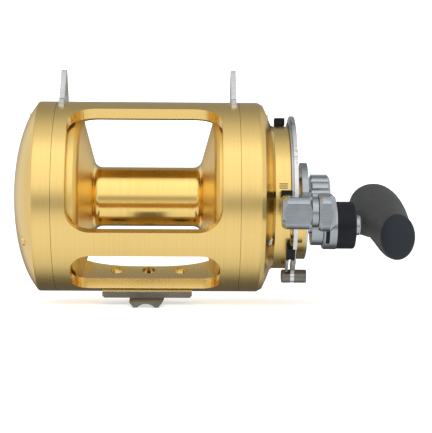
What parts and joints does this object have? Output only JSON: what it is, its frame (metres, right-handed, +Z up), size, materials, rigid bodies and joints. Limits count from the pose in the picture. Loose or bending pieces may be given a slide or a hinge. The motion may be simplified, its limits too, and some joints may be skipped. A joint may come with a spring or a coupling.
{
  "type": "trolling reel",
  "caption": "Two-speed lever-drag trolling reel with a one-piece frame, an empty metal spool, harness lugs, a rod foot and a crank with a T-bar grip.",
  "frame": {"origin": "centre of the four rod-clamp holes, on the underside of the foot's ears", "axes": "+X along the spool axis toward the handle, +Y along the rod toward its tip, +Z up from the rod"},
  "size_m": [0.3251, 0.2295, 0.1847],
  "materials": {
    "gold": "gold anodised, fine turned lines",
    "silver": "satin",
    "steel": "satin",
    "dark": "black anodised",
    "foot": "dark grey satin",
    "bronze": "satin",
    "friction": "carbon drag composite",
    "rubber": "matte"
  },
  "bodies": {
    "reel": {"frame": "gold", "left_end_ring": "gold", "left_side_plate": "gold", "left_plate_screws": "silver", "left_shaft_bush": "bronze", "right_side_plate": "gold", "right_plate_screws": "silver", "oil_port_screw": "silver", "bridge_plate": "steel", "bridge_screws": "steel", "pinion_bearing": "steel", "gearbox_cover": "gold", "cover_rim": "silver", "cover_screws": "steel", "drive_inner_bush": "bronze", "drive_outer_bearing": "steel", "quadrant_track": "steel", "quadrant_rail": "silver", "quadrant_screws": "steel", "free_stop": "dark", "lower_stop": "dark", "quadrant_post": "foot", "fixed_cam": "bronze", "harness_lugs": "silver", "harness_screws": "silver", "reel_foot": "foot", "foot_screws": "dark"},
    "lever": {"drag_lever": "silver", "lever_cam": "bronze", "lever_knob_inner": "silver", "lever_knob_outer": "silver"},
    "shaft": {"spool_shaft": "steel", "spring_washers": "steel"},
    "preset": {"preset_knob": "silver"},
    "spool": {"spool": "gold", "spool_bearings": "steel", "friction_washer": "friction", "clicker_gear": "steel"},
    "pinions": {"drive_plate": "steel", "ratchet_wheel": "steel", "pinion_low": "steel", "pinion_high": "steel"},
    "low_gear": {"gear_low": "steel"},
    "crank": {"drive_shaft": "steel", "gear_high": "steel", "drive_sleeve": "silver", "handle_hub": "silver", "handle_cap": "dark", "handle_arm": "silver", "handle_spindle": "steel"},
    "shift": {"shift_button": "silver"},
    "catch": {"shift_catch": "dark"},
    "grip": {"grip": "rubber", "grip_bushes": "bronze"},
    "strike": {"strike_button": "dark"},
    "clicker": {"clicker_button": "dark"},
    "clicker_pawl": {"clicker_pawl": "steel"},
    "upper_pawl": {"pawls_upper": "steel"},
    "lower_pawl": {"pawls_lower": "steel"}
  },
  "joints": [
    {"name": "drag_lever_swing", "type": "hinge", "parent": "reel", "child": "lever", "pos_m": [0.123, 0, 0.0793], "axis": [-1, 0, 0], "range_deg": [0, 165]},
    {"name": "shaft_slide", "type": "slide", "parent": "reel", "child": "shaft", "axis": [1, 0, 0], "range_m": [0, 0.0012]},
    {"name": "preset_turn", "type": "hinge", "parent": "shaft", "child": "preset", "pos_m": [0.136, 0, 0.0793], "axis": [1, 0, 0], "range_deg": [-170, 170]},
    {"name": "spool_spin", "type": "hinge", "parent": "shaft", "child": "spool", "pos_m": [0, 0, 0.0793], "axis": [1, 0, 0], "continuous": true},
    {"name": "crank_turn", "type": "hinge", "parent": "reel", "child": "crank", "pos_m": [0.1, -0.0318, 0.0576], "axis": [1, 0, 0], "continuous": true},
    {"name": "pinion_spin", "type": "hinge", "parent": "reel", "child": "pinions", "pos_m": [0.08, 0, 0.0793], "axis": [1, 0, 0], "continuous": true},
    {"name": "low_gear_spin", "type": "hinge", "parent": "reel", "child": "low_gear", "pos_m": [0.08, -0.0318, 0.0576], "axis": [1, 0, 0], "continuous": true},
    {"name": "shift_press", "type": "slide", "parent": "crank", "child": "shift", "axis": [-1, 0, 0], "range_m": [0, 0.004], "stiffness_N_per_m": 400, "springref_m": -0.002},
    {"name": "catch_press", "type": "slide", "parent": "crank", "child": "catch", "axis": [0, 0.848, 0.5299], "range_m": [0, 0.001], "stiffness_N_per_m": 400, "springref_m": -0.0005},
    {"name": "grip_spin", "type": "hinge", "parent": "crank", "child": "grip", "pos_m": [0.18, 0.08018, 0.05956], "axis": [1, 0, 0], "continuous": true},
    {"name": "strike_press", "type": "slide", "parent": "reel", "child": "strike", "axis": [-1, 0, 0], "range_m": [0, 0.0015], "stiffness_N_per_m": 400, "springref_m": -0.001},
    {"name": "clicker_slide", "type": "slide", "parent": "reel", "child": "clicker", "axis": [0, -0.9816, -0.1908], "range_m": [0, 0.006]},
    {"name": "clicker_pawl_swing", "type": "hinge", "parent": "clicker", "child": "clicker_pawl", "pos_m": [-0.072, 0.03387, 0.08588], "axis": [1, 0, 0], "range_deg": [-10, 10], "stiffness_Nm_per_rad": 0.02},
    {"name": "upper_pawl_swing", "type": "hinge", "parent": "reel", "child": "upper_pawl", "pos_m": [0.075, 0.012, 0.10008], "axis": [1, 0, 0], "range_deg": [-14, 0], "stiffness_Nm_per_rad": 0.02, "springref_deg": 5.73},
    {"name": "lower_pawl_swing", "type": "hinge", "parent": "reel", "child": "lower_pawl", "pos_m": [0.075, 0.02079, 0.0673], "axis": [1, 0, 0], "range_deg": [-14, 0], "stiffness_Nm_per_rad": 0.02, "springref_deg": 5.73}
  ],
  "couplings": [
    {"joint": "shaft_slide", "follows": "drag_lever_swing", "m_per_rad": 0.0004167},
    {"joint": "pinion_spin", "follows": "crank_turn", "ratio": -2.5},
    {"joint": "low_gear_spin", "follows": "crank_turn", "ratio": 1.875}
  ]
}
